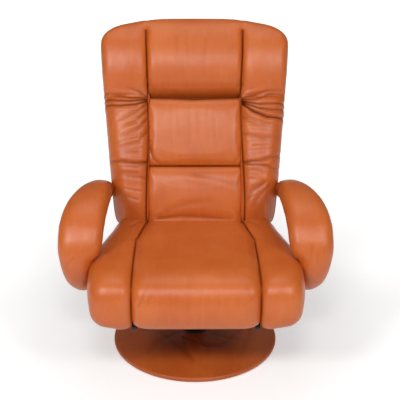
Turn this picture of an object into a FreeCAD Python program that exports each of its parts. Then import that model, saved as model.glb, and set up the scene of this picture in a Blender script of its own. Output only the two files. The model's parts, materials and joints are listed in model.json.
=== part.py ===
import FreeCAD, Part
import math
import os

# Swivel recliner with C-shaped padded arms, on a round leather-wrapped base.
# Millimetres. The chair faces -Y, +X is to the right of someone facing it, and
# the origin is on the floor under the middle of the column.

# Base and column
BASE_RADIUS = 277.0
BASE_LIFT = 5.0
RIM_HEIGHT = 14.0
DOME_HEIGHT = 42.0
COVER_LEATHER = 2.0
COVER_TURN_UNDER = 28.0
PLATE_RADIUS = 150.0
PLATE_THICKNESS = 8.0
GLIDE_RADIUS = 14.0
GLIDE_COUNT = 6
GLIDE_INSET = 49.0
GLIDE_CIRCLE = BASE_RADIUS - GLIDE_INSET
BASE_SCREW_COUNT = 4
COLUMN_RADIUS = 30.0
COLUMN_WALL = 4.0
COLUMN_TOP = 190.0
SPINDLE_RADIUS = 18.0
BUSH_LENGTH = 30.0
BUSH_FLANGE = 4.0
WASHER_THICKNESS = 4.0
SPINDLE_FLANGE = 6.7

# Swivelling chassis
SWIVEL_PLATE = 8.0
CROSS_TUBE_WIDTH = 40.0
CROSS_TUBE_HEIGHT = 25.0
CROSS_TUBE_WALL = 2.5
CROSS_TUBE_PITCH = 150.0
CHANNEL_HEIGHT = 34.0
CHANNEL_DEPTH = 30.0
CHANNEL_WALL = 3.0
CHANNEL_INNER_X = 196.0
CHANNEL_FRONT_Y = -230.0
CHANNEL_REAR_Y = 190.0
LOCK_ROD_RADIUS = 6.0
LOCK_ROD_RISE = 24.0

# Arms, as a padded band that curls round a steel core
ARM_POST_X = 283.0
ARM_POST_WIDTH = 40.0
ARM_POST_HEIGHT = 50.0
ARM_CORE_WIDTH = 40.0
ARM_CORE_THICKNESS = 8.0
ARM_THICKNESS = 60.0
ARM_BOSS_RADIUS = 15.0
ARM_BOLT_RADIUS = 4.0
BOLT_OFFSETS = ((-5, 10), (4, -11))
ARM_INNER_X = 278.5
PIVOT_RADIUS = 8.0

# Seat carriage
RAIL_SIZE = 25.0
RAIL_INNER_X = 228.0
RAIL_BOTTOM_Z = 285.0
RAIL_FRONT_Y = -325.0
RAIL_REAR_Y = 235.0
SEAT_BOARD_THICKNESS = 12.0
FRONT_BOARD_Y = -345.0
FRONT_BOARD_BOTTOM_Z = 268.0
BLOCK_LENGTH = 50.0
BLOCK_FRONT_Y = -110.0
BLOCK_REAR_Y = 165.0
STUB_RADIUS = 5.0
SEAT_FRONT_Y = -392.0
SEAT_BOTTOM_Z = 256.5
SEAT_TOP_Z = 412.0
SEAT_REAR_TOP_Z = 390.0
SEAT_SEAM_REAR_X = 163.0
SEAT_SEAM_FRONT_X = 192.0
SEAT_HALF_WIDTH_FRONT = 320.0
SEAT_HALF_WIDTH_REAR = 256.0
WEB_WIDTH = 46.0
WEB_THICKNESS = 3.0

# Release lever
RELEASE_SHAFT_RADIUS = 5.0
RELEASE_SHAFT_Y = 35.0
RELEASE_SHAFT_DROP = 20.0
LEVER_LENGTH = 100.0

# Footrest folded under the seat
FOOTREST_PIVOT_Y = -352.0
FOOTREST_PIVOT_Z = 248.0
FOOTREST_HALF_WIDTH = 180.0
FOOTREST_LENGTH = 195.0
FOOTREST_SETBACK = 30.0
FOOTREST_PAD = 28.0
FOOTREST_BOARD = 12.0
FOOTREST_STRAP = 5.0
FOOTREST_PIN_RADIUS = 5.0

# Back, drawn upright in its own plane and then leaned
BACK_LEAN = 22.4
BACK_FOOT_Y = 118.0
BACK_FOOT_Z = 392.0
BACK_THICKNESS = 112.0
BACK_HALF_WIDTH_FOOT = 267.0
BACK_HALF_WIDTH_NECK = 306.0
BACK_HALF_WIDTH_TOP = 316.0
BACK_SEAM_X = 160.0
LUMBAR_SEAM_S = 184.0
NECK_S = 454.0
NECK_DEPTH = 55.0
BACK_TOP_S = 692.0
TAIL_LENGTH = 68.0
UPRIGHT_OUTER_X = 213.0
UPRIGHT_WIDTH = 25.0
UPRIGHT_DEPTH = 20.0
UPRIGHT_FRONT_T = 48.0
EAR_THICKNESS = 6.0
PIVOT_S = 105.0
PIVOT_T = 30.0
DRIVE_REACH = 165.0
DRIVE_REST_ANGLE = 10.0
RECLINE_ANGLE = 32.0
DRIVE_PIN_RADIUS = 5.0
HEAD_LEAF_THICKNESS = 6.0
HEAD_PIN_RADIUS = 6.0

# Clearances
SOFT_GAP = 0.3
SEAM_GAP = 3.0
RUNNING_FIT = 0.05
SLOT_PLAY = 1.0
BOLT_PLAY = 0.2

# Heights that follow from the stack of parts
SWIVEL_PLATE_Z = COLUMN_TOP + BUSH_FLANGE + WASHER_THICKNESS + SOFT_GAP + SPINDLE_FLANGE
CROSS_TUBE_Z = SWIVEL_PLATE_Z + SWIVEL_PLATE
CHANNEL_Z = CROSS_TUBE_Z + CROSS_TUBE_HEIGHT
CORE_Z = CHANNEL_Z + ARM_POST_HEIGHT
RAIL_TOP_Z = RAIL_BOTTOM_Z + RAIL_SIZE
SEAT_BOARD_TOP_Z = RAIL_TOP_Z + SEAT_BOARD_THICKNESS
CUSHION_BASE_Z = SEAT_BOARD_TOP_Z + SOFT_GAP
LOCK_ROD_Z = CHANNEL_Z + LOCK_ROD_RISE

LEAN = math.radians(BACK_LEAN)


def leaned(s, t):
    """World Y and Z of a point at height s and depth t in the plane of the back."""
    y = BACK_FOOT_Y + s * math.sin(LEAN) + t * math.cos(LEAN)
    z = BACK_FOOT_Z + s * math.cos(LEAN) - t * math.sin(LEAN)
    return y, z


PIVOT_Y, PIVOT_Z = leaned(PIVOT_S, PIVOT_T)
DRIVE_Y = PIVOT_Y + DRIVE_REACH * math.sin(math.radians(DRIVE_REST_ANGLE))
DRIVE_Z = PIVOT_Z - DRIVE_REACH * math.cos(math.radians(DRIVE_REST_ANGLE))


def vec(x, y, z):
    return FreeCAD.Vector(x, y, z)


def box(x0, x1, y0, y1, z0, z1):
    return Part.makeBox(x1 - x0, y1 - y0, z1 - z0, vec(x0, y0, z0))


def rod_x(radius, x0, x1, y, z):
    return Part.makeCylinder(radius, x1 - x0, vec(x0, y, z), vec(1, 0, 0))


def rod_y(radius, y0, y1, x, z):
    return Part.makeCylinder(radius, y1 - y0, vec(x, y0, z), vec(0, 1, 0))


def rod_z(radius, z0, z1, x=0.0, y=0.0):
    return Part.makeCylinder(radius, z1 - z0, vec(x, y, z0), vec(0, 0, 1))


def plate_x(x0, x1, outline):
    """A flat plate square to X, from a closed outline of (y, z) points."""
    points = [vec(x0, y, z) for y, z in outline]
    face = Part.Face(Part.makePolygon(points + points[:1]))
    return face.extrude(vec(x1 - x0, 0, 0))


def plate_z(z0, z1, outline):
    """A flat plate square to Z, from a closed outline of (x, y) points."""
    points = [vec(x, y, z0) for x, y in outline]
    face = Part.Face(Part.makePolygon(points + points[:1]))
    return face.extrude(vec(0, 0, z1 - z0))


def link_x(x0, x1, y0, z0, r0, y1, z1, r1):
    """A link plate with two round ends, square to X."""
    length = math.hypot(y1 - y0, z1 - z0)
    across_y = (z1 - z0) / length
    across_z = -(y1 - y0) / length
    web = plate_x(x0, x1, [
        (y0 + r0 * across_y, z0 + r0 * across_z),
        (y1 + r1 * across_y, z1 + r1 * across_z),
        (y1 - r1 * across_y, z1 - r1 * across_z),
        (y0 - r0 * across_y, z0 - r0 * across_z),
    ])
    return web.fuse([rod_x(r0, x0, x1, y0, z0), rod_x(r1, x0, x1, y1, z1)]).removeSplitter()


def rounded_loop(centre, along_u, along_v, u0, u1, v0, v1, radii):
    """A closed loop whose four corners are each cut back by one flat, or left square at 0."""
    corners = [(u0, v0, 1, 1), (u1, v0, -1, 1), (u1, v1, -1, -1), (u0, v1, 1, -1)]
    points = []
    for (u, v, du, dv), r in zip(corners, radii):
        cut = 0.7 * r
        flat = [(u, v + dv * cut), (u + du * cut, v)]
        if du * dv < 0:
            flat.reverse()
        if r == 0:
            flat = [(u, v)]
        points += [centre + along_u * a + along_v * b for a, b in flat]
    return Part.makePolygon(points + points[:1])


def mirrored(shape):
    return shape.mirror(vec(0, 0, 0), vec(1, 0, 0))


def both(shape):
    return [shape, mirrored(shape)]


def stand_back(shape):
    """Leans a shape drawn upright, with Y as depth and Z as height, into the back's plane."""
    placed = shape.copy()
    placed.rotate(vec(0, 0, 0), vec(1, 0, 0), -BACK_LEAN)
    placed.translate(vec(0, BACK_FOOT_Y, BACK_FOOT_Z))
    return placed


def save(name, shapes):
    shapes = shapes if isinstance(shapes, list) else [shapes]
    solids = [solid for shape in shapes for solid in shape.Solids]
    assert solids and all(solid.isValid() for solid in solids), name
    whole = solids[0] if len(solids) == 1 else Part.makeCompound(solids)
    whole.exportStep("parts/" + name + ".step")


# Base

def turned(points):
    """A solid of revolution about Z from a closed outline of (radius, z) points."""
    loop = [vec(radius, 0, z) for radius, z in points]
    face = Part.Face(Part.makePolygon(loop + loop[:1]))
    return face.revolve(vec(0, 0, 0), vec(0, 0, 1), 360)


def disc_body(grow):
    """The domed wooden disc, or the leather's outer surface when grown."""
    rim = BASE_RADIUS - COVER_LEATHER + grow
    bottom = BASE_LIFT - grow
    shoulder = RIM_HEIGHT + 0.62 * (DOME_HEIGHT - RIM_HEIGHT)
    return turned([
        (0, bottom),
        (rim, bottom),
        (rim, RIM_HEIGHT + grow),
        (rim * 0.62, shoulder + grow),
        (COLUMN_RADIUS + 28, DOME_HEIGHT + grow),
        (0, DOME_HEIGHT + grow),
    ])


def make_base():
    disc = disc_body(0.0)
    skin = disc_body(COVER_LEATHER)
    column_hole = rod_z(COLUMN_RADIUS + BOLT_PLAY, -1, 100)
    plate_recess = rod_z(PLATE_RADIUS + SOFT_GAP, -1, PLATE_THICKNESS)
    screw_tip = PLATE_THICKNESS + 14.0
    screws = []
    screw_holes = []
    for i in range(BASE_SCREW_COUNT):
        turn = 2 * math.pi * i / BASE_SCREW_COUNT
        x = (PLATE_RADIUS - 20) * math.cos(turn)
        y = (PLATE_RADIUS - 20) * math.sin(turn)
        screws.append(rod_z(3, 3, screw_tip, x, y).fuse(rod_z(6, 1, 3, x, y)).removeSplitter())
        screw_holes.append(rod_z(3, 2, screw_tip, x, y))
        screw_holes.append(rod_z(6, -1, 3, x, y))
    wood = disc.cut([column_hole, plate_recess] + screw_holes)
    save("base_disc", wood)
    under = rod_z(BASE_RADIUS - COVER_TURN_UNDER, -1, BASE_LIFT + 0.5)
    save("base_leather_cover", skin.cut([disc, column_hole, under]))
    plate = rod_z(PLATE_RADIUS, 0, PLATE_THICKNESS).cut(screw_holes)
    save("base_steel_plate", plate)
    save("base_screws", screws)
    glides = []
    for i in range(GLIDE_COUNT):
        turn = 2 * math.pi * (i + 0.5) / GLIDE_COUNT
        x = GLIDE_CIRCLE * math.cos(turn)
        y = GLIDE_CIRCLE * math.sin(turn)
        glides.append(rod_z(GLIDE_RADIUS, 0, BASE_LIFT, x, y))
    save("base_glides", glides)
    cover_top = DOME_HEIGHT + COVER_LEATHER
    collar = turned([
        (COLUMN_RADIUS + 0.1, cover_top),
        (COLUMN_RADIUS + 14, cover_top),
        (COLUMN_RADIUS + 12, cover_top + 5),
        (COLUMN_RADIUS + 0.1, cover_top + 8),
    ])
    save("column_collar", collar)


def make_column():
    bore = COLUMN_RADIUS - COLUMN_WALL
    tube = rod_z(COLUMN_RADIUS, PLATE_THICKNESS, COLUMN_TOP)
    save("column_tube", tube.cut(rod_z(bore, PLATE_THICKNESS - 1, COLUMN_TOP + 1)))
    spindle_hole = rod_z(SPINDLE_RADIUS + RUNNING_FIT, 0, SWIVEL_PLATE_Z)
    lower_z = PLATE_THICKNESS + 22
    lower = rod_z(bore, lower_z, lower_z + BUSH_LENGTH).cut(spindle_hole)
    upper = rod_z(bore, COLUMN_TOP - BUSH_LENGTH, COLUMN_TOP)
    upper = upper.fuse(rod_z(COLUMN_RADIUS, COLUMN_TOP, COLUMN_TOP + BUSH_FLANGE)).removeSplitter()
    save("column_bushes", [lower, upper.cut(spindle_hole)])
    washer_z = COLUMN_TOP + BUSH_FLANGE
    washer = rod_z(COLUMN_RADIUS, washer_z, washer_z + WASHER_THICKNESS).cut(spindle_hole)
    save("thrust_washer", washer)
    clip_z = lower_z - SOFT_GAP - 2
    spindle = rod_z(SPINDLE_RADIUS, clip_z - 4, SWIVEL_PLATE_Z)
    flange = rod_z(COLUMN_RADIUS, SWIVEL_PLATE_Z - SPINDLE_FLANGE, SWIVEL_PLATE_Z)
    groove = rod_z(SPINDLE_RADIUS + 1, clip_z, clip_z + 2).cut(rod_z(SPINDLE_RADIUS - 1.5, 0, 100))
    save("spindle", spindle.fuse(flange).removeSplitter().cut(groove))
    clip = rod_z(SPINDLE_RADIUS + 4, clip_z, clip_z + 2)
    save("spindle_clip", clip.cut(rod_z(SPINDLE_RADIUS - 1.5, 0, 100)))


# Swivelling chassis

def make_chassis():
    half_pitch = CROSS_TUBE_PITCH / 2
    half_tube = CROSS_TUBE_WIDTH / 2
    reach_y = half_pitch + half_tube
    corner = 45.0
    half_x = 125.0
    plate = plate_z(SWIVEL_PLATE_Z, CROSS_TUBE_Z, [
        (-half_x + corner, -reach_y), (half_x - corner, -reach_y), (half_x, -reach_y + corner),
        (half_x, reach_y - corner), (half_x - corner, reach_y), (-half_x + corner, reach_y),
        (-half_x, reach_y - corner), (-half_x, -reach_y + corner),
    ])
    windows = [rod_z(24, 0, 400, x, 0) for x in (-78, 78)]
    save("swivel_plate", plate.cut(windows))
    tubes = []
    for y, half in ((-half_pitch, ARM_POST_X + ARM_POST_WIDTH / 2),
                    (half_pitch, CHANNEL_INNER_X + CHANNEL_DEPTH)):
        wall = CROSS_TUBE_WALL
        tube = box(-half, half, y - half_tube, y + half_tube, CROSS_TUBE_Z, CHANNEL_Z)
        inside = box(-half - 1, half + 1, y - half_tube + wall, y + half_tube - wall,
                     CROSS_TUBE_Z + wall, CHANNEL_Z - wall)
        tubes.append(tube.cut(inside))
    outer = CHANNEL_INNER_X + CHANNEL_DEPTH
    channel = box(CHANNEL_INNER_X, outer, CHANNEL_FRONT_Y, CHANNEL_REAR_Y,
                  CHANNEL_Z, CHANNEL_Z + CHANNEL_HEIGHT)
    channel = channel.cut(box(CHANNEL_INNER_X + CHANNEL_WALL, outer + 1, CHANNEL_FRONT_Y - 1,
                              CHANNEL_REAR_Y + 1, CHANNEL_Z + CHANNEL_WALL,
                              CHANNEL_Z + CHANNEL_HEIGHT - CHANNEL_WALL))
    save("slide_channels", both(channel))
    ear_reach = half_pitch + half_tube
    ears = []
    for y in (-ear_reach, half_pitch - 3):
        ear = box(-13, 13, y, y + 6, CHANNEL_Z, LOCK_ROD_Z + 12)
        ears.append(ear.cut(rod_y(LOCK_ROD_RADIUS, y - 1, y + 7, 0, LOCK_ROD_Z)))
    save("chassis_frame", [tube.fuse(ear).removeSplitter() for tube, ear in zip(tubes, ears)])
    save("lock_rod", rod_y(LOCK_ROD_RADIUS, -ear_reach, half_pitch + 3, 0, LOCK_ROD_Z))


# Arms

def arm_stations():
    """Centreline of the right arm: x, y, z, then the pad's width and thickness there."""
    full = ARM_THICKNESS
    return [
        (330, -112, CORE_Z + 4, 60, 44),
        (358, -166, CORE_Z + 18, 64, 54),
        (371, -208, CORE_Z + 78, 82, full),
        (358, -212, CORE_Z + 144, 134, full),
        (352, -178, CORE_Z + 212, 140, full),
        (338, -100, CORE_Z + 256, 130, full),
        (320, -5, CORE_Z + 262, 106, full),
        (315, 95, CORE_Z + 234, 68, full),
        (309, PIVOT_Y - 8, PIVOT_Z + 6, 50, full),
    ]


def arm_band(stations, shape_at, steps):
    """A band along the stations' smooth centreline, in straight runs."""
    line = Part.BSplineCurve()
    count = len(stations)
    line.interpolate(Points=[vec(*station[:3]) for station in stations],
                     Parameters=[float(i) for i in range(count)])
    loops = []
    for i in range(steps * (count - 1) + 1):
        along = i / steps
        before = shape_at(stations[math.floor(along)])
        after = shape_at(stations[math.ceil(along)])
        width, thickness, radius = [(a + b) / 2 for a, b in zip(before, after)]
        tangent = vec(*line.tangent(along)[0])
        side = vec(1, 0, 0) - tangent * tangent.x
        side.normalize()
        loops.append(rounded_loop(line.value(along), side, tangent.cross(side), -width / 2, width / 2,
                                  -thickness / 2, thickness / 2, [radius] * 4))
    return Part.makeLoft(loops, True, True)


def make_arms():
    stations = arm_stations()
    pad = arm_band(stations, lambda s: (s[3], s[4], 0.5 * s[4]), 2)
    last = stations[-1]
    cap = rod_x(ARM_THICKNESS / 2 - 1, last[0] - last[3] / 2 + 2, last[0] + last[3] / 2 - 2,
                PIVOT_Y, PIVOT_Z)
    tongue = (ARM_POST_X - 1, -CROSS_TUBE_PITCH / 2 + 18, CORE_Z + 4, 0, 0)
    tongue_front = (ARM_POST_X + 6, -CROSS_TUBE_PITCH / 2 - 12, CORE_Z + 4, 0, 0)
    core_line = [tongue, tongue_front] + stations[1:-1] + [(ARM_INNER_X + 24, PIVOT_Y, PIVOT_Z, 0, 0)]
    core = arm_band(core_line, lambda s: (ARM_CORE_WIDTH, ARM_CORE_THICKNESS, 0), 1)
    boss = rod_x(ARM_BOSS_RADIUS, ARM_INNER_X, ARM_INNER_X + 48, PIVOT_Y, PIVOT_Z)
    pivot_hole = rod_x(PIVOT_RADIUS, 0, 500, PIVOT_Y, PIVOT_Z)
    bolt_y = -CROSS_TUBE_PITCH / 2
    bolts = []
    bolt_holes = []
    for dx, dy in BOLT_OFFSETS:
        x = ARM_POST_X + dx
        bolts.append(rod_z(ARM_BOLT_RADIUS, CORE_Z - 12, CORE_Z + 8.5, x, bolt_y + dy)
                     .fuse(rod_z(6.5, CORE_Z + 8.5, CORE_Z + 14, x, bolt_y + dy)).removeSplitter())
        bolt_holes.append(rod_z(ARM_BOLT_RADIUS + BOLT_PLAY, CORE_Z - 20, CORE_Z + 20, x, bolt_y + dy))
    post_top = box(0, 400, bolt_y - 22, bolt_y + 22, CORE_Z - 20, CORE_Z)
    head_seats = [rod_z(7, CORE_Z + 8.5, CORE_Z + 30, ARM_POST_X + dx, bolt_y + dy) for dx, dy in BOLT_OFFSETS]
    core = core.fuse(boss).removeSplitter().cut([pivot_hole, post_top] + bolt_holes + head_seats)
    pad = pad.fuse(cap).removeSplitter()
    bolt_clear = box(ARM_POST_X - 60, ARM_POST_X + 27, bolt_y - 30, 0, CORE_Z - 60, CORE_Z + 60)
    seat_side = box(0, SEAT_HALF_WIDTH_FRONT + 1, -400, -100, CUSHION_BASE_Z - 1, SEAT_TOP_Z + 6)
    pad = pad.cut([core, boss, pivot_hole, bolt_clear, seat_side])
    pad = max(pad.Solids, key=lambda solid: solid.Volume)
    half = ARM_POST_WIDTH / 2
    half_y = CROSS_TUBE_WIDTH / 2
    wall = 4.0
    post = box(ARM_POST_X - half, ARM_POST_X + half, bolt_y - half_y, bolt_y + half_y, CHANNEL_Z, CORE_Z)
    post = post.cut([box(ARM_POST_X - half + wall, ARM_POST_X + half - wall, bolt_y - half_y - 1,
                         bolt_y + half_y + 1, CHANNEL_Z + wall, CORE_Z - wall)] + bolt_holes)
    pivot_bolt = rod_x(PIVOT_RADIUS, UPRIGHT_OUTER_X - 6, ARM_INNER_X + 48, PIVOT_Y, PIVOT_Z)
    pivot_bolt = pivot_bolt.fuse(rod_x(PIVOT_RADIUS + 3, UPRIGHT_OUTER_X - 10, UPRIGHT_OUTER_X - 6,
                                       PIVOT_Y, PIVOT_Z)).removeSplitter()
    for side, place in (("right", lambda s: s), ("left", mirrored)):
        save("arm_pad_" + side, place(pad))
        save("arm_core_" + side, place(core))
    save("arm_posts", both(post))
    save("recline_pivots", both(pivot_bolt))
    save("arm_bolts", [b for bolt in bolts for b in both(bolt)])


# Seat carriage

def make_seat_frame():
    outer = RAIL_INNER_X + RAIL_SIZE
    rail = box(RAIL_INNER_X, outer, RAIL_FRONT_Y, RAIL_REAR_Y, RAIL_BOTTOM_Z, RAIL_TOP_Z)
    hangers = [box(RAIL_INNER_X, RAIL_INNER_X + 5, y - 15, y + 15, CHANNEL_Z + 5, RAIL_BOTTOM_Z)
               for y in (BLOCK_FRONT_Y, BLOCK_REAR_Y)]
    slot_half = DRIVE_PIN_RADIUS + SLOT_PLAY
    sweep_top = PIVOT_Z - DRIVE_REACH * math.cos(math.radians(RECLINE_ANGLE - DRIVE_REST_ANGLE))
    sweep_low = PIVOT_Z - DRIVE_REACH
    slot = box(RAIL_INNER_X - 10, RAIL_INNER_X, DRIVE_Y - slot_half, DRIVE_Y + slot_half,
               sweep_low, sweep_top)
    slot = slot.fuse([rod_x(slot_half, RAIL_INNER_X - 10, RAIL_INNER_X, DRIVE_Y, z)
                      for z in (sweep_low, sweep_top)])
    slot_plate = box(RAIL_INNER_X - EAR_THICKNESS, RAIL_INNER_X, DRIVE_Y - 20, DRIVE_Y + 20,
                     RAIL_BOTTOM_Z + 3, sweep_top + slot_half + 4)
    slot_plate = slot_plate.cut(slot)
    z_stub = CHANNEL_Z + CHANNEL_HEIGHT / 2
    stub_holes = [rod_x(STUB_RADIUS, RAIL_INNER_X - 1, RAIL_INNER_X + 6, y, z_stub)
                  for y in (BLOCK_FRONT_Y, BLOCK_REAR_Y)]
    side = rail.fuse(hangers).removeSplitter().cut(stub_holes)
    bars = [
        box(-RAIL_INNER_X, RAIL_INNER_X, RAIL_FRONT_Y, RAIL_FRONT_Y + 25, RAIL_TOP_Z - 6, RAIL_TOP_Z),
        box(-RAIL_INNER_X, RAIL_INNER_X, RELEASE_SHAFT_Y - 15, RELEASE_SHAFT_Y + 15,
            RAIL_TOP_Z - 9, RAIL_TOP_Z),
        box(-RAIL_INNER_X, RAIL_INNER_X, RAIL_REAR_Y - 16, RAIL_REAR_Y, RAIL_BOTTOM_Z, RAIL_BOTTOM_Z + 3),
    ]
    shaft_z = RAIL_TOP_Z - RELEASE_SHAFT_DROP
    ear = box(20, 25, RELEASE_SHAFT_Y - 9, RELEASE_SHAFT_Y + 9, shaft_z - 9, RAIL_TOP_Z - 9)
    side = side.fuse(slot_plate).removeSplitter()
    frame = side.fuse([mirrored(side)] + bars + [ear]).removeSplitter()
    shaft_hole = rod_x(RELEASE_SHAFT_RADIUS + RUNNING_FIT, -300, 30, RELEASE_SHAFT_Y, shaft_z)
    save("seat_frame", frame.cut(shaft_hole))
    blocks = []
    stubs = []
    web = CHANNEL_INNER_X + CHANNEL_WALL
    for y in (BLOCK_FRONT_Y, BLOCK_REAR_Y):
        block = box(web + SOFT_GAP, RAIL_INNER_X - 2.5, y - BLOCK_LENGTH / 2, y + BLOCK_LENGTH / 2,
                    CHANNEL_Z + CHANNEL_WALL + SOFT_GAP, CHANNEL_Z + CHANNEL_HEIGHT - CHANNEL_WALL - SOFT_GAP)
        blocks += both(block.cut(rod_x(STUB_RADIUS, web, RAIL_INNER_X, y, z_stub)))
        stub = rod_x(STUB_RADIUS, web + 6, RAIL_INNER_X + 5, y, z_stub)
        stub = stub.fuse(rod_x(STUB_RADIUS + 3, RAIL_INNER_X + 5, RAIL_INNER_X + 10, y, z_stub))
        stubs += both(stub.removeSplitter())
    save("glide_blocks", blocks)
    save("glide_block_bolts", stubs)


def seat_half_width(y):
    """Half the seat's width along its depth, widest just ahead of the arms."""
    share = max(BACK_FOOT_Y - y, 0) / (BACK_FOOT_Y - SEAT_FRONT_Y)
    swell = math.sin(math.pi / 2 * min(share / 0.655, 1))
    return SEAT_HALF_WIDTH_REAR + (SEAT_HALF_WIDTH_FRONT - SEAT_HALF_WIDTH_REAR) * swell


def seat_seam(y):
    share = min((BACK_FOOT_Y - y) / 170.0, 1)
    return SEAT_SEAM_REAR_X + (SEAT_SEAM_FRONT_X - SEAT_SEAM_REAR_X) * share


def make_seat_boards():
    front = FRONT_BOARD_Y + SEAT_BOARD_THICKNESS
    rear = BACK_FOOT_Y - 36
    inset = 40.0
    board = plate_z(RAIL_TOP_Z, SEAT_BOARD_TOP_Z, [
        (-seat_half_width(front) + inset, front), (seat_half_width(front) - inset, front),
        (seat_half_width(rear) - 5, rear), (-seat_half_width(rear) + 5, rear),
    ])
    window = box(-150, 150, front + 60, rear - 40, RAIL_TOP_Z - 1, SEAT_BOARD_TOP_Z + 1)
    half = seat_half_width(front) - inset
    front_board = box(-half, half, FRONT_BOARD_Y, front, FRONT_BOARD_BOTTOM_Z, SEAT_BOARD_TOP_Z)
    save("seat_boards", [board.cut(window), front_board])
    straps = []
    pitch = WEB_WIDTH + 12
    y = front + 66
    while y + WEB_WIDTH < RELEASE_SHAFT_Y - 16:
        straps.append(box(-200, 200, y, y + WEB_WIDTH, RAIL_TOP_Z - WEB_THICKNESS, RAIL_TOP_Z))
        y += pitch
    save("seat_webbing", straps)


def seat_station(y, shrink):
    """Top height of the seat and how far its section is drawn in, at one depth."""
    share = (y - SEAT_FRONT_Y) / (BACK_FOOT_Y - SEAT_FRONT_Y)
    top = SEAT_TOP_Z + (SEAT_REAR_TOP_Z - SEAT_TOP_Z) * max(share - 0.25, 0) / 0.75
    return top - shrink, SEAT_BOTTOM_Z + 0.45 * shrink


def seat_cushion(inner_at, outer_at, outer_radius, crown, draw_in):
    loops = []
    for y, shrink in ((BACK_FOOT_Y + 20, 0), (0, 0), (-110, 0), (-220, 0), (-325, 2),
                      (-368, 12), (SEAT_FRONT_Y, 46)):
        top, bottom = seat_station(y, shrink)
        inner = inner_at(y)
        outer = outer_at(y) - draw_in * shrink
        bend = min(outer_radius, 0.46 * (top + crown - bottom))
        radii = [10, bend, bend, 10]
        loops.append(rounded_loop(vec(0, y, 0), vec(1, 0, 0), vec(0, 0, 1), inner, outer,
                                  bottom, top + crown, radii))
    body = Part.makeLoft(loops, True, True)
    under_board = box(-400, 400, FRONT_BOARD_Y - SOFT_GAP, 400, 0, CUSHION_BASE_Z)
    behind = stand_back(box(-400, 400, -SEAM_GAP, 300, -300, 300))
    return body.cut([under_board, behind])


def make_seat_cushions():
    half_gap = SEAM_GAP / 2
    bolster = seat_cushion(lambda y: seat_seam(y) + half_gap, seat_half_width, 38, 4, 0.5)
    centre = seat_cushion(lambda y: half_gap - seat_seam(y), lambda y: seat_seam(y) - half_gap, 10, 0, 0)
    save("seat_centre_cushion", centre)
    save("seat_side_cushion_right", bolster)
    save("seat_side_cushion_left", mirrored(bolster))


def make_lock():
    rod_hole = rod_y(LOCK_ROD_RADIUS + RUNNING_FIT, -200, 200, 0, LOCK_ROD_Z)
    y0 = RELEASE_SHAFT_Y - 25
    y1 = RELEASE_SHAFT_Y + 25
    block = box(-14, 14, y0, y1, LOCK_ROD_Z - 14, LOCK_ROD_Z + 13)
    neck = box(-9, 9, RELEASE_SHAFT_Y + 10, RELEASE_SHAFT_Y + 15, LOCK_ROD_Z + 13, RAIL_TOP_Z - 9)
    save("lock_housing", block.fuse(neck).removeSplitter().cut(rod_hole))
    shaft_z = RAIL_TOP_Z - RELEASE_SHAFT_DROP
    outer = RAIL_INNER_X + RAIL_SIZE
    shaft = rod_x(RELEASE_SHAFT_RADIUS, -outer - 7, 26, RELEASE_SHAFT_Y, shaft_z)
    save("release_shaft", shaft)
    shaft_bore = rod_x(RELEASE_SHAFT_RADIUS, -400, 400, RELEASE_SHAFT_Y, shaft_z)
    save("release_cam", rod_x(8, -6, 6, RELEASE_SHAFT_Y, shaft_z + 0.6).cut(shaft_bore))
    lever = link_x(-outer - 7, -outer - 2, RELEASE_SHAFT_Y, shaft_z, 10,
                   RELEASE_SHAFT_Y + LEVER_LENGTH, shaft_z - 8, 8)
    save("release_lever", lever.cut(shaft_bore))
    grip = link_x(-outer - 34, -outer - 7, RELEASE_SHAFT_Y + LEVER_LENGTH - 46, shaft_z - 5, 6,
                  RELEASE_SHAFT_Y + LEVER_LENGTH, shaft_z - 8, 8)
    save("lever_grip", grip)
    spring = rod_x(RELEASE_SHAFT_RADIUS + 3, -RAIL_INNER_X + 2, -RAIL_INNER_X + 22, RELEASE_SHAFT_Y, shaft_z)
    save("release_spring", spring.cut(shaft_bore))


# Footrest

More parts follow.
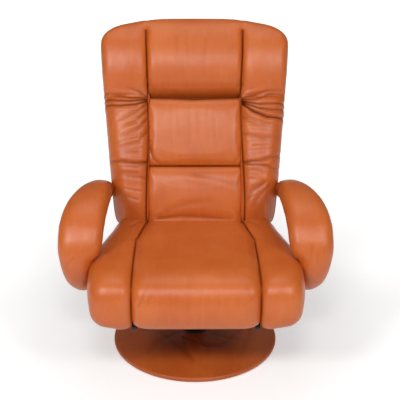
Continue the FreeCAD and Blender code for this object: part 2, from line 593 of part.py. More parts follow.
def make_footrest():
    near = FOOTREST_PIVOT_Y + FOOTREST_SETBACK
    far = near + FOOTREST_LENGTH
    face = FOOTREST_PIVOT_Z + 8
    board_z = face + FOOTREST_PAD + SOFT_GAP
    board_top = board_z + FOOTREST_BOARD
    half = FOOTREST_HALF_WIDTH
    pad = box(-half, half, near, far, face, face + FOOTREST_PAD)
    low_edges = [e for e in pad.Edges if abs(e.CenterOfMass.z - face) < 0.1]
    save("footrest_pad", pad.makeFillet(10, low_edges))
    save("footrest_board", box(-half, half, near, far, board_z, board_top))
    strap = plate_x(half, half + FOOTREST_STRAP, [
        (FOOTREST_PIVOT_Y, FOOTREST_PIVOT_Z - 6), (near + 18, FOOTREST_PIVOT_Z - 6),
        (near + 18, board_z), (near + 125, board_z), (near + 125, board_top),
        (near + 3, board_top), (near + 3, FOOTREST_PIVOT_Z + 6), (FOOTREST_PIVOT_Y, FOOTREST_PIVOT_Z + 6),
    ])
    strap = strap.fuse(rod_x(8, half, half + FOOTREST_STRAP, FOOTREST_PIVOT_Y, FOOTREST_PIVOT_Z))
    strap = strap.removeSplitter().cut(rod_x(FOOTREST_PIN_RADIUS + RUNNING_FIT, half - 1, half + 6,
                                             FOOTREST_PIVOT_Y, FOOTREST_PIVOT_Z))
    save("footrest_hinge_straps", both(strap))
    inner = half + FOOTREST_STRAP + 2
    board_rear = FRONT_BOARD_Y + SEAT_BOARD_THICKNESS
    bracket = link_x(inner, inner + 5, FOOTREST_PIVOT_Y, FOOTREST_PIVOT_Z, 8,
                     board_rear + 9, FRONT_BOARD_BOTTOM_Z - 8, 8)
    bracket = bracket.fuse(box(inner, inner + 5, board_rear, board_rear + 17,
                               FRONT_BOARD_BOTTOM_Z - 8, RAIL_TOP_Z - 6)).removeSplitter()
    pin_hole = rod_x(FOOTREST_PIN_RADIUS, 0, 400, FOOTREST_PIVOT_Y, FOOTREST_PIVOT_Z)
    front_board = box(0, 400, FRONT_BOARD_Y, board_rear, FRONT_BOARD_BOTTOM_Z, SEAT_BOARD_TOP_Z)
    save("footrest_brackets", both(bracket.cut([pin_hole, front_board])))
    pin = rod_x(FOOTREST_PIN_RADIUS, half - 3, inner + 5, FOOTREST_PIVOT_Y, FOOTREST_PIVOT_Z)
    save("footrest_pins", both(pin))


# Back

def back_half_width(s):
    if s < NECK_S:
        share = max(s, 0) / NECK_S
        return BACK_HALF_WIDTH_FOOT + (BACK_HALF_WIDTH_NECK - BACK_HALF_WIDTH_FOOT) * share
    share = min((s - NECK_S) / 160.0, 1)
    return BACK_HALF_WIDTH_NECK + (BACK_HALF_WIDTH_TOP - BACK_HALF_WIDTH_NECK) * share


def neck_roll(grow):
    """The cylinder about which the headrest turns, in the upright plane of the back."""
    return rod_x(NECK_DEPTH + grow, -400, 400, NECK_DEPTH, NECK_S)


def make_back_frame():
    top = NECK_S - NECK_DEPTH - 6
    t0 = UPRIGHT_FRONT_T
    t1 = UPRIGHT_FRONT_T + UPRIGHT_DEPTH
    inner = UPRIGHT_OUTER_X - UPRIGHT_WIDTH
    wall = 2.0
    upright = box(inner, UPRIGHT_OUTER_X, t0, t1, 20, top)
    upright = upright.cut(box(inner + wall, UPRIGHT_OUTER_X - wall, t0 + wall, t1 - wall, 19, top + 1))
    bars = [box(-inner, inner, t0, t1, s, s + 20) for s in (30, top - 58)]
    frame = stand_back(upright.fuse([mirrored(upright)] + bars).removeSplitter())
    ear = link_x(UPRIGHT_OUTER_X, UPRIGHT_OUTER_X + EAR_THICKNESS, PIVOT_Y, PIVOT_Z, 26,
                 DRIVE_Y, DRIVE_Z, 12)
    bush_radius = PIVOT_RADIUS + 4
    ear = ear.cut([rod_x(bush_radius, 0, 400, PIVOT_Y, PIVOT_Z),
                   rod_x(DRIVE_PIN_RADIUS, 0, 400, DRIVE_Y, DRIVE_Z)])
    save("back_frame", frame.fuse(both(ear)).removeSplitter())
    bush = rod_x(bush_radius, UPRIGHT_OUTER_X - 3, UPRIGHT_OUTER_X + EAR_THICKNESS + 3, PIVOT_Y, PIVOT_Z)
    save("recline_bushes", both(bush.cut(rod_x(PIVOT_RADIUS + RUNNING_FIT, 0, 400, PIVOT_Y, PIVOT_Z))))
    pin = rod_x(DRIVE_PIN_RADIUS, UPRIGHT_OUTER_X - 4, RAIL_INNER_X - SOFT_GAP, DRIVE_Y, DRIVE_Z)
    save("drive_pins", both(pin))
    straps = []
    s = 60.0
    while s + WEB_WIDTH < top - 20:
        straps.append(box(-UPRIGHT_OUTER_X + 1, UPRIGHT_OUTER_X - 1, t0 - WEB_THICKNESS, t0, s, s + WEB_WIDTH))
        s += WEB_WIDTH + 10
    save("back_webbing", stand_back(Part.makeCompound(straps)))


def back_lip(shape):
    """Hollows the top of a back part so that the headrest can roll in it."""
    return shape.cut(neck_roll(1.0))


def make_back_pads():
    rear = UPRIGHT_FRONT_T - WEB_THICKNESS - SOFT_GAP
    half = BACK_SEAM_X - SEAM_GAP / 2
    lip = NECK_S - 42
    lower = plate_x(-half, half, [
        (8, -TAIL_LENGTH), (24, -TAIL_LENGTH), (rear, 0), (rear, LUMBAR_SEAM_S - 1.5),
        (-4, LUMBAR_SEAM_S - 1.5), (-14, LUMBAR_SEAM_S - 20), (-16, 90), (-10, 40), (0.5, 4),
        (0.5, -10),
    ])
    middle = plate_x(-half, half, [
        (-6, LUMBAR_SEAM_S + 1.5), (rear, LUMBAR_SEAM_S + 1.5), (rear, lip), (-4, lip),
        (-12, lip - 20), (-16, lip - 90), (-14, LUMBAR_SEAM_S + 20),
    ])
    save("back_lumbar_pad", stand_back(lower))
    save("back_middle_pad", stand_back(back_lip(middle)))
    loops = []
    for s, front, drawn in ((3, -16, 4), (50, -34, 0), (LUMBAR_SEAM_S, -36, 0), (310, -34, 0),
                            (lip, -26, 0)):
        outer = back_half_width(s) - drawn
        loops.append(rounded_loop(vec(0, 0, s), vec(1, 0, 0), vec(0, 1, 0), BACK_SEAM_X + SEAM_GAP / 2,
                                  outer, front, BACK_THICKNESS, [12, 36, 30, 12]))
    wing = Part.makeLoft(loops, True, True)
    side_inner = RAIL_INNER_X + 1.5
    frame_space = box(0, side_inner, rear, 300, -200, 600)
    ear_pocket = box(UPRIGHT_OUTER_X - 14, side_inner, 1, 300, -200, PIVOT_S + 36)
    wing = wing.cut([frame_space, ear_pocket])
    wing = stand_back(back_lip(wing)).cut(rod_x(PIVOT_RADIUS + 3, 0, 400, PIVOT_Y, PIVOT_Z))
    save("back_wing_right", wing)
    save("back_wing_left", mirrored(wing))
    panel_half = side_inner - 2
    shell_t = BACK_THICKNESS - 24
    cover_t = shell_t + 8 + SOFT_GAP
    ear_notch = box(UPRIGHT_OUTER_X - 4, 400, 0, 300, -200, 60)
    for name, t0, t1 in (("back_shell", shell_t, shell_t + 8), ("back_rear_cover", cover_t, BACK_THICKNESS)):
        panel = box(-panel_half, panel_half, t0, t1, -20, lip)
        panel = back_lip(panel.cut([ear_notch, mirrored(ear_notch)]))
        save(name, stand_back(panel))


# Headrest

def head_profile():
    """The headrest's side outline: a roll at the neck, a full front and a rounded top."""
    roll = 2 * NECK_DEPTH
    top = BACK_TOP_S
    front = Part.BSplineCurve()
    front.interpolate([vec(0, 14, top - 22), vec(0, -8, top - 70), vec(0, -18, top - 150),
                       vec(0, -14, NECK_S + 50), vec(0, 0, NECK_S)])
    edges = [
        front.toShape(),
        Part.Arc(vec(0, 0, NECK_S), vec(0, NECK_DEPTH, NECK_S - NECK_DEPTH), vec(0, roll, NECK_S)).toShape(),
        Part.LineSegment(vec(0, roll, NECK_S), vec(0, roll - 6, top - 40)).toShape(),
        Part.Arc(vec(0, roll - 6, top - 40), vec(0, 62, top), vec(0, 14, top - 22)).toShape(),
    ]
    return Part.Face(Part.Wire(edges))


def head_outline():
    """The headrest's front outline, with broad rounded shoulders."""
    neck = BACK_HALF_WIDTH_NECK - 4
    wide = BACK_HALF_WIDTH_TOP
    bottom = NECK_S - NECK_DEPTH - 5
    edges = []
    for flip in (1, -1):
        edges.append(Part.LineSegment(vec(0, 0, bottom), vec(flip * neck, 0, bottom)).toShape())
        side = Part.Arc(vec(flip * neck, 0, bottom), vec(flip * (wide - 3), 0, BACK_TOP_S - 170),
                        vec(flip * wide, 0, BACK_TOP_S - 85)).toShape()
        shoulder = Part.Arc(vec(flip * wide, 0, BACK_TOP_S - 85), vec(flip * (wide - 22), 0, BACK_TOP_S - 40),
                            vec(flip * (wide - 70), 0, BACK_TOP_S - 18)).toShape()
        edges += [side, shoulder]
    edges.append(Part.Arc(vec(wide - 70, 0, BACK_TOP_S - 18), vec(0, 0, BACK_TOP_S),
                          vec(70 - wide, 0, BACK_TOP_S - 18)).toShape())
    wire = Part.Wire(Part.sortEdges(edges)[0])
    return Part.Face(wire).extrude(vec(0, 400, 0)).translated(vec(0, -100, 0))


def make_head():
    whole = head_profile().extrude(vec(800, 0, 0)).translated(vec(-400, 0, 0)).common(head_outline())
    foam_rear = NECK_DEPTH + 5.0
    half = BACK_SEAM_X - SEAM_GAP / 2
    frame_x = 216.0
    leaf_inner = UPRIGHT_OUTER_X - UPRIGHT_WIDTH - 13
    hinge_slot = box(leaf_inner - 27, leaf_inner + 16, 14, 300, 300, NECK_S + 32)
    hinge_slots = both(hinge_slot)
    centre = whole.common(box(-half, half, -100, foam_rear, 0, 900))
    save("head_centre_pad", stand_back(centre))
    side = whole.common(box(BACK_SEAM_X + SEAM_GAP / 2, 400, -100, 300, 0, 900))
    side = side.cut([box(0, frame_x, foam_rear, 300, 0, 900), hinge_slot])
    loops = []
    for s in (NECK_S - NECK_DEPTH - 10, NECK_S, 560, BACK_TOP_S + 5):
        outer = back_half_width(s)
        loops.append(rounded_loop(vec(0, 0, s), vec(1, 0, 0), vec(0, 1, 0), 0, outer + 0.5,
                                  -60, 2 * NECK_DEPTH, [5, 78, 34, 5]))
    softened = Part.makeLoft(loops, True, True)
    side = side.common(softened)
    save("head_side_pad_right", stand_back(side))
    save("head_side_pad_left", mirrored(stand_back(side)))
    rear = whole.common(box(-frame_x + 1, frame_x - 1, 84, 300, 0, 900)).cut(hinge_slots)
    save("head_rear_cover", stand_back(rear))
    t0 = foam_rear + SOFT_GAP
    t1 = 84 - SOFT_GAP
    upright = box(leaf_inner - 25, leaf_inner, t0, t1, NECK_S - 8, BACK_TOP_S - 62)
    bars = [box(-leaf_inner, leaf_inner, t0, t1, z, z + 20) for z in (NECK_S + 40, BACK_TOP_S - 82)]
    frame = upright.fuse([mirrored(upright)] + bars).removeSplitter()
    frame = frame.common(neck_roll(-1).fuse(box(-400, 400, 0, 200, NECK_S, 900)))
    save("head_frame", stand_back(frame))
    leaf = HEAD_LEAF_THICKNESS
    pin_hole = rod_x(HEAD_PIN_RADIUS + RUNNING_FIT, -400, 400, NECK_DEPTH, NECK_S)
    tight_hole = rod_x(HEAD_PIN_RADIUS, -400, 400, NECK_DEPTH, NECK_S)
    upper = link_x(leaf_inner, leaf_inner + leaf, NECK_DEPTH, NECK_S, 14, 74, NECK_S + 26, 9)
    lower_x = leaf_inner + leaf + 1
    lower = link_x(lower_x, lower_x + leaf, NECK_DEPTH, NECK_S, 14, 58, NECK_S - NECK_DEPTH - 30, 9)
    pin = rod_x(HEAD_PIN_RADIUS, leaf_inner, lower_x + leaf + 2, NECK_DEPTH, NECK_S)
    save("head_ratchet_leaves", [stand_back(s) for s in both(upper.cut(tight_hole))])
    save("head_hinge_leaves", [stand_back(s) for s in both(lower.cut(pin_hole))])
    save("head_hinge_pins", [stand_back(s) for s in both(pin)])


os.makedirs("parts", exist_ok=True)
make_base()
make_column()
make_chassis()
make_arms()
make_seat_frame()
make_seat_boards()
make_seat_cushions()
make_lock()
make_footrest()
make_back_frame()
make_back_pads()
make_head()
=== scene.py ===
import bpy
import bmesh
import math
import numpy as np
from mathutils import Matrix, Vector
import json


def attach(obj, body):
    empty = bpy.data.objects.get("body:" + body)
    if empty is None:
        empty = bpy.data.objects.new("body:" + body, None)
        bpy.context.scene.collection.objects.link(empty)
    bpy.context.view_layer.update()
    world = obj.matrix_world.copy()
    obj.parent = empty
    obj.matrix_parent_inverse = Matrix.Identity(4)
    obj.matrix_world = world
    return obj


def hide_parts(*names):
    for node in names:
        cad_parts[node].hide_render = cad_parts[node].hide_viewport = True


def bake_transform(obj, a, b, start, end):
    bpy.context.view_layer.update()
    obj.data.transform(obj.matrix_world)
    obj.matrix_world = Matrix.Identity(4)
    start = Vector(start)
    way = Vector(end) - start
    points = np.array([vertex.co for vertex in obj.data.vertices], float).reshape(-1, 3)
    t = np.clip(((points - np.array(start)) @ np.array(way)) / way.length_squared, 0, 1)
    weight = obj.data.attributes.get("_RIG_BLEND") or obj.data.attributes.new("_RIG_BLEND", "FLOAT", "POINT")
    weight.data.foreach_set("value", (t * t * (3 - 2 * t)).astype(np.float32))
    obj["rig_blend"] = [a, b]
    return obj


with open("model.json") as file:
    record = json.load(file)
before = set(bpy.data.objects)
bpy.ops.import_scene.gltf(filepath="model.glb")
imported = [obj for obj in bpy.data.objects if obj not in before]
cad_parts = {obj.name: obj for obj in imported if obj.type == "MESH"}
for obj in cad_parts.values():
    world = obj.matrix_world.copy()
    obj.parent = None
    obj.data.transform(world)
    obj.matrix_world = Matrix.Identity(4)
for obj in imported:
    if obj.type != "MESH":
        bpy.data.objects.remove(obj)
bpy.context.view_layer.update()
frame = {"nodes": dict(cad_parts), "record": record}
nodes = frame["nodes"]
scene = bpy.context.scene


# Base cover: one round piece of cowhide pulled over the wooden disc, creased near
# the column where it is gathered, turned under at the rim and stapled there. It is the
# same hide as the seat, drawn as a darker copy of its leather: painted shade for the seat's
# shadow over it.

# Sockets of a colour mix node.
MIX_SHARE, MIX_LOW, MIX_HIGH, MIX_RESULT = 0, 6, 7, 2


def linear(code):
    """An sRGB hex colour as linear RGBA."""
    values = [int(code[i:i + 2], 16) / 255 for i in (1, 3, 5)]
    return [v / 12.92 if v <= 0.04045 else ((v + 0.055) / 1.055) ** 2.4 for v in values] + [1.0]


def add_node(tree, kind, settings, links=()):
    """One shader node with its settings, by attribute or socket, and its incoming links."""
    made = tree.nodes.new(kind)
    for key, value in settings.items():
        if isinstance(key, str) and hasattr(made, key):
            setattr(made, key, value)
        else:
            made.inputs[key].default_value = value
    for socket, source in links:
        tree.links.new(source, made.inputs[socket])
    return made


def new_tree(name):
    """A material, its emptied node tree, and the object's own coordinates in it."""
    material = bpy.data.materials.new(name)
    material.use_nodes = True
    tree = material.node_tree
    tree.nodes.clear()
    return material, tree, add_node(tree, "ShaderNodeTexCoord", {}).outputs["Object"]


def stretched(tree, place, scale):
    return add_node(tree, "ShaderNodeMapping", {"Scale": scale},
                    [("Vector", place)]).outputs["Vector"]


def noise(tree, place, **settings):
    return add_node(tree, "ShaderNodeTexNoise", settings, [("Vector", place)]).outputs["Fac"]


def ranged(tree, value, settings):
    return add_node(tree, "ShaderNodeMapRange", settings, [("Value", value)]).outputs["Result"]


def blended(tree, share, low, high):
    """Mix of two colours, each of them a hex code or a socket."""
    settings, links = {"data_type": "RGBA"}, [(MIX_SHARE, share)]
    for socket, colour in ((MIX_LOW, low), (MIX_HIGH, high)):
        if isinstance(colour, str):
            settings[socket] = linear(colour)
        else:
            links.append((socket, colour))
    return add_node(tree, "ShaderNodeMix", settings, links).outputs[MIX_RESULT]


def bumped(tree, height, strength, distance, under=None):
    """Normal of a relief of the distance in metres, over the relief under it if there is one."""
    links = [("Height", height)]
    if under is not None:
        links.append(("Normal", under))
    return add_node(tree, "ShaderNodeBump", {"Strength": strength, "Distance": distance},
                    links).outputs["Normal"]


def surfaced(tree, settings, links):
    """Ends a material's tree in its surface."""
    skin = add_node(tree, "ShaderNodeBsdfPrincipled", settings, links)
    add_node(tree, "ShaderNodeOutputMaterial", {}, [("Surface", skin.outputs["BSDF"])])


def leather(name, dye, worn, streak, fold_tone_and_shade, roughness):
    """Semi-aniline cowhide: an even dye with slow clouds, a fine pebble, and folds darkened by painted
    shade, with a little of the hide's own darkening in its creases.
    """
    material, tree, place = new_tree(name)
    clouds = noise(tree, place, Scale=7.0, Detail=3.0, Roughness=0.55)
    spread = ranged(tree, clouds, {"From Min": 0.36, "From Max": 0.66})
    dyed = blended(tree, spread, dye, worn)
    # The dye takes in thin streaks that run down the hide.
    along = stretched(tree, place, (110.0, 16.0, 16.0))
    streaks = noise(tree, along, Scale=1.0, Detail=4.0, Roughness=0.65)
    thin = ranged(tree, streaks, {"From Min": 0.5, "From Max": 0.8, "To Max": 0.2})
    streaked = blended(tree, thin, dyed, streak)
    # Painted shade: the fold attribute turns the colour toward the dark shade colour and takes the shine
    # away, in folds and seams, under the headrest and beside the arms.
    folds = add_node(tree, "ShaderNodeAttribute", {"attribute_name": "fold"}).outputs["Fac"]
    shaded = blended(tree, folds, streaked, fold_tone_and_shade)
    shine = ranged(tree, folds, {"From Max": 0.7, "To Min": 0.5, "To Max": 0.05})
    # Real pebble is about 1 mm across; it is drawn at 2.4 mm so that it shows at all.
    pebble = add_node(tree, "ShaderNodeTexVoronoi", {"Scale": 420.0},
                      [("Vector", place)]).outputs["Distance"]
    ripple = noise(tree, place, Scale=55.0, Detail=5.0, Roughness=0.6)
    relief = bumped(tree, pebble, 0.25, 0.0004, under=bumped(tree, ripple, 0.3, 0.0016))
    gloss = ranged(tree, ripple, {"To Min": roughness - 0.05, "To Max": roughness + 0.07})
    surfaced(tree, {"IOR": 1.5, "Coat Weight": 0.1, "Coat Roughness": 0.36},
             [("Specular IOR Level", shine), ("Base Color", shaded), ("Roughness", gloss),
              ("Normal", relief)])
    return material


hide = leather("tan_cowhide", "#C35C1C", "#CD6726", "#D98A58", "#471405", 0.39)


def spun(name, profile, material, steps):
    """A closed turned piece from its (radius, z) profile in millimetres."""
    form = bmesh.new()
    ring = [form.verts.new((r / 1000, 0, z / 1000)) for r, z in profile]
    edges = [form.edges.new((a, b)) for a, b in zip(ring, ring[1:] + ring[:1])]
    bmesh.ops.spin(form, geom=ring + edges, cent=(0, 0, 0), axis=(0, 0, 1), angle=2 * math.pi,
                   steps=steps, use_merge=True)
    bmesh.ops.remove_doubles(form, verts=form.verts, dist=1e-6)
    bmesh.ops.recalc_face_normals(form, faces=form.faces)
    mesh = bpy.data.meshes.new(name)
    form.to_mesh(mesh)
    form.free()
    piece = bpy.data.objects.new(name, mesh)
    scene.collection.objects.link(piece)
    mesh.polygons.foreach_set("use_smooth", [True] * len(mesh.polygons))
    mesh.materials.append(material)
    return piece


def read_mesh(piece):
    """Vertex positions in millimetres and unit normals, as arrays."""
    count = len(piece.data.vertices)
    places = np.empty(count * 3)
    piece.data.vertices.foreach_get("co", places)
    normals = np.empty(count * 3)
    piece.data.vertex_normals.foreach_get("vector", normals)
    return places.reshape(-1, 3) * 1000, normals.reshape(-1, 3)


def write_mesh(piece, places):
    piece.data.vertices.foreach_set("co", (places / 1000).ravel())
    piece.data.update()


def write_fold_tone_and_shade(piece, folds):
    """Stores how dark each vertex is painted, from 0 to 1, for the leather to darken: shade painted into
    folds and seams, with the hide's own slight darkening there, and painted shade elsewhere.
    """
    attributes = piece.data.attributes
    attribute = attributes.get("fold") or attributes.new("fold", "FLOAT", "POINT")
    attribute.data.foreach_set("value", np.clip(folds, 0, 1))


def line_field(u, v, points):
    """Distance of each (u, v) from a bent line, and how far along it the nearest point is."""
    points = np.array(points, float)
    runs = np.linalg.norm(np.diff(points, axis=0), axis=1)
    before = np.concatenate([[0], np.cumsum(runs)])
    best = np.full(len(u), 1e9)
    along = np.zeros(len(u))
    for (u0, v0), (u1, v1), run, gone in zip(points[:-1], points[1:], runs, before):
        t = np.clip(((u - u0) * (u1 - u0) + (v - v0) * (v1 - v0)) / run ** 2, 0, 1)
        far = np.hypot(u - u0 - t * (u1 - u0), v - v0 - t * (v1 - v0))
        closer = far < best
        best = np.where(closer, far, best)
        along = np.where(closer, (gone + t * run) / before[-1], along)
    return best, along


def folds_at(u, v, lines):
    """Sum of fold depths in millimetres, and how much shade is painted into them. A line is
    (points, depth, half-width, how much of it is left at its far end)."""
    drop = np.zeros(len(u))
    dark = np.zeros(len(u))
    for points, depth, width, tail in lines:
        far, along = line_field(u, v, points)
        strength = depth * (1 - (1 - tail) * along)
        groove = np.exp(-(far / width) ** 2)
        swell = np.exp(-((far - 2.2 * width) / (1.2 * width)) ** 2)
        drop += strength * (groove - 0.45 * swell)
        dark += strength / 5 * np.exp(-(far / (0.7 * width)) ** 2)
    return drop, dark


def soften(value, low, high):
    """0 below low, 1 above high and smooth between them."""
    t = np.clip((value - low) / (high - low), 0, 1)
    return t * t * (3 - 2 * t)


HOLE_RADIUS = 31
RIM_RADIUS = 277.0
RIM_TOP = 16.0
RIM_INSET = 4
HEM_WIDTH = 26
HEM_LOW, HEM_HIGH = 3.2, 4.8
DOME_TOP = 44.0
DOME_POINTS = 30
dome = [(HOLE_RADIUS, DOME_TOP)]
for i in range(1, DOME_POINTS + 1):
    reach = i / DOME_POINTS
    rise = DOME_TOP - (DOME_TOP - RIM_TOP) * (0.35 * reach + 0.65 * reach ** 2.4)
    dome.append((HOLE_RADIUS + (RIM_RADIUS - RIM_INSET - HOLE_RADIUS) * reach, rise))
rim = [(RIM_RADIUS - 1.2, 14.4), (RIM_RADIUS, 11.5), (RIM_RADIUS, 7.5), (RIM_RADIUS - 1.5, 4.4),
       (RIM_RADIUS - 5, HEM_LOW), (RIM_RADIUS - HEM_WIDTH, HEM_LOW),
       (RIM_RADIUS - HEM_WIDTH, HEM_HIGH), (HOLE_RADIUS, HEM_HIGH)]
# A darker copy of the seat's leather: painted shade from the seat above.
shaded_hide = leather("shaded_cowhide", "#B25219", "#BD5D22", "#CB7A48", "#3A1004", 0.42)
base_cover = spun("base_cover", dome + rim, shaded_hide, steps=180)
where, facing = read_mesh(base_cover)
creases = [
    ([(-38, -62), (-30, -150), (-6, -196)], 2.6, 10, 0.3),
    ([(6, -66), (38, -128), (46, -176)], 2.2, 9, 0.2),
    ([(-66, -36), (-128, -92), (-150, -140)], 2.0, 12, 0.3),
    ([(60, -44), (122, -70), (176, -76)], 2.2, 11, 0.2),
    ([(-74, 8), (-160, -4), (-214, -34)], 1.2, 12, 0.4),
    ([(72, 22), (150, 44), (206, 40)], 1.2, 11, 0.3),
    ([(-43, -66), (30, -116), (84, -118), (150, -22)], 2.8, 9, 0.4),
    ([(-157, 90), (-112, -38), (-14, -180)], 2.4, 11, 0.4),
    ([(150, 120), (190, -12), (146, -170)], 2.0, 12, 0.4),
    ([(20, 70), (60, 150), (70, 206)], 1.4, 10, 0.3),
    ([(-34, 66), (-84, 140), (-110, 190)], 1.2, 11, 0.3),
]
drop, dark = folds_at(where[:, 0], where[:, 1], creases)
above = facing[:, 2] > 0.3
out = np.hypot(where[:, 0], where[:, 1])
# The cover stands off the disc beyond the column's collar, and creases further out.
COVER_PUFF = 1.6
where[:, 2] += above * (COVER_PUFF * soften(out, 40, 70) - drop * soften(out, 85, 125))
write_mesh(base_cover, where)
# Painted shade in the creases.
write_fold_tone_and_shade(base_cover, 0.6 * dark * above)
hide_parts("base_leather_cover")
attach(base_cover, "base")


# Steel, wood and plastic parts: the column, the turning frame, the rails and the
# hinges keep their own solids. Frames are powder-coated black, pins and rods are
# ground steel, boards are beech plywood, bushes are moulded nylon.

def coated_steel():
    material, tree, place = new_tree("powder_coated_steel")
    peel = noise(tree, place, Scale=700.0, Detail=2.0)
    tone = blended(tree, noise(tree, place, Scale=18.0, Detail=4.0), "#141414", "#242322")
    surfaced(tree, {"Roughness": 0.5},
             [("Base Color", tone), ("Normal", bumped(tree, peel, 0.2, 0.0003))])
    return material


def ground_steel():
    material, tree, place = new_tree("ground_steel")
    lines = noise(tree, stretched(tree, place, (40.0, 900.0, 900.0)), Scale=1.0, Detail=3.0)
    gloss = ranged(tree, lines, {"To Min": 0.24, "To Max": 0.42})
    surfaced(tree, {"Base Color": linear("#B9B9BC"), "Metallic": 1.0},
             [("Roughness", gloss), ("Normal", bumped(tree, lines, 0.1, 0.0002))])
    return material


def plywood():
    material, tree, place = new_tree("beech_plywood")
    lay = stretched(tree, place, (6.0, 90.0, 90.0))
    grain = noise(tree, lay, Scale=1.0, Detail=6.0, Distortion=0.6)
    tone = blended(tree, grain, "#A98556", "#D2B083")
    surfaced(tree, {"Roughness": 0.62},
             [("Base Color", tone), ("Normal", bumped(tree, grain, 0.2, 0.0004))])
    return material


def nylon():
    material, tree, place = new_tree("moulded_nylon")
    spark = noise(tree, place, Scale=1200.0, Detail=1.0)
    surfaced(tree, {"Base Color": linear("#19191A"), "Roughness": 0.55},
             [("Normal", bumped(tree, spark, 0.25, 0.0002))])
    return material


def webbing():
    """Elastic polypropylene webbing, in a plain weave about 3 mm from rib to rib."""
    material, tree, place = new_tree("elastic_webbing")
    ribs, rows = [add_node(tree, "ShaderNodeTexWave", {"Scale": 52.0, "bands_direction": axis},
                           [("Vector", place)]).outputs["Fac"] for axis in "XZ"]
    weave = add_node(tree, "ShaderNodeMath", {"operation": "MULTIPLY"},
                     [(0, ribs), (1, rows)]).outputs["Value"]
    tone = blended(tree, weave, "#1C1B1A", "#4A4743")
    surfaced(tree, {"Roughness": 0.85},
             [("Base Color", tone), ("Normal", bumped(tree, weave, 0.5, 0.0006))])
    return material


finishes = {"black_steel": coated_steel(), "bright_steel": ground_steel(), "wood": plywood(),
            "black_plastic": nylon(), "webbing": webbing(), "leather": hide}
for part in frame["record"]["subparts"]:
    if part["node"] in nodes:
        mesh = nodes[part["node"]].data
        mesh.materials.clear()
        # The footrest's pins are blackened like its brackets.
        slot = "black_steel" if part["node"] == "footrest_pins" else part["material_slot"]
        mesh.materials.append(finishes[slot])


# Seat: a broad middle panel that rolls over the front edge, between two stuffed side
# bolsters. All three are foam on plywood boards under sewn leather, so they crown
# between their seams and pull tight along them.

VOXEL = 0.005
CLOTH_FRAMES = 8
CLOTH_PRESSURE = 4.0
# The farthest that cloth blows a point, in millimetres, as all lengths below are.
CLOTH_CAP = 5.0
# The share of the way to its neighbours' middle that relax moves a point each round.
RELAX_STEP = 0.6
# The seams: how deep they sink, how far they pull the hide down, and how wide the shade painted along them
# is.
SEAM_SINK = 6.0
SEAM_REACH = 13
SEAM_LINE = 2.8
# They run straight from the back to SPREAD_START, and spread over SPREAD_RUN from there.
SEAM_REAR, SEAM_SPREAD = 163, 29
SPREAD_START, SPREAD_RUN = 118, 170
SEAT_TOP = 400
FRONT_EDGE = 372
# The front, which is evened out most, ends between these two depths.
FRONT_FADE = (-320, -220)
UNDERSIDE = 300
UNDERSIDE_SAG = 11
CORNER_RADIUS = 84


def as_piece(name, mesh, material):
    piece = bpy.data.objects.new(name, mesh)
    scene.collection.objects.link(piece)
    mesh.materials.clear()
    mesh.materials.append(material)
    return piece


def applied(piece):
    """Applies the piece's modifiers to its mesh."""
    bpy.context.view_layer.update()
    finished = piece.evaluated_get(bpy.context.evaluated_depsgraph_get())
    mesh = bpy.data.meshes.new_from_object(finished)
    mesh.name = piece.name
    piece.modifiers.clear()
    piece.data = mesh
    mesh.polygons.foreach_set("use_smooth", [True] * len(mesh.polygons))


def pad_from(name, sources, grow, smooth, regrow):
    """One even skin round copies of CAD solids, rounded and then grown back, so that
    neighbouring pads press against each other."""
    form = bmesh.new()
    for source in sources:
        form.from_mesh(nodes[source].data)
    bmesh.ops.remove_doubles(form, verts=form.verts, dist=1e-5)
    form.normal_update()
    for vert in form.verts:
        vert.co += vert.normal * (grow / 1000)
    mesh = bpy.data.meshes.new(name)
    form.to_mesh(mesh)
    form.free()
    piece = as_piece(name, mesh, hide)
    remesh = piece.modifiers.new("even_skin", "REMESH")
    remesh.mode = "VOXEL"
    remesh.voxel_size = VOXEL
    rounding = piece.modifiers.new("rounding", "SMOOTH")
    rounding.factor = 0.6
    rounding.iterations = smooth
    applied(piece)
    where, normals = read_mesh(piece)
    write_mesh(piece, where + normals * regrow)
    return piece


def relax(piece, weight, rounds, extra=0.0):
    """Evens out the skin where the weight is high, and swells it back to its size there,
    with something extra on top."""
    start, _ = read_mesh(piece)
    count = len(start)
    ends = np.empty(len(piece.data.edges) * 2, int)
    piece.data.edges.foreach_get("vertices", ends)
    near = np.concatenate([ends[1::2], ends[::2]])
    here = np.concatenate([ends[::2], ends[1::2]])
    neighbours = np.bincount(here, minlength=count)[:, None]
    weight = np.broadcast_to(weight, count)[:, None]
    where = start.copy()
    for _ in range(rounds):
        total = np.stack([np.bincount(here, where[near, i], count) for i in range(3)], 1)
        where += RELAX_STEP * weight * (total / neighbours - where)
    write_mesh(piece, where)
    _, normals = read_mesh(piece)
    swell = (((start - where) * normals).sum(1) * weight[:, 0]).sum() / max(weight.sum(), 1)
    write_mesh(piece, where + normals * weight * (swell + extra))


def stuff(piece):
    """Blows the skin up with cloth pressure. Points move straight out, by the cap at
    most, so that neighbouring pads stay pressed together."""
    start, normals = read_mesh(piece)
    cloth = piece.modifiers.new("stuffing", "CLOTH")
    cloth.settings.quality = 4
    cloth.settings.use_pressure = True
    cloth.settings.uniform_pressure_force = CLOTH_PRESSURE
    cloth.settings.effector_weights.gravity = 0
    cloth.settings.tension_stiffness = 25
    cloth.settings.compression_stiffness = 25
    cloth.settings.bending_stiffness = 3
    cloth.point_cache.frame_start = 1
    cloth.point_cache.frame_end = CLOTH_FRAMES
    for step in range(1, CLOTH_FRAMES + 1):
        scene.frame_set(step)
    applied(piece)
    scene.frame_set(1)
    blown, _ = read_mesh(piece)
    move = ((blown - start) * normals).sum(1)
    write_mesh(piece, start + normals * np.clip(move, 0, CLOTH_CAP)[:, None])


def refine(piece):
    piece.modifiers.new("fine_skin", "SUBSURF").levels = 1
    piece.modifiers["fine_skin"].render_levels = 1
    applied(piece)


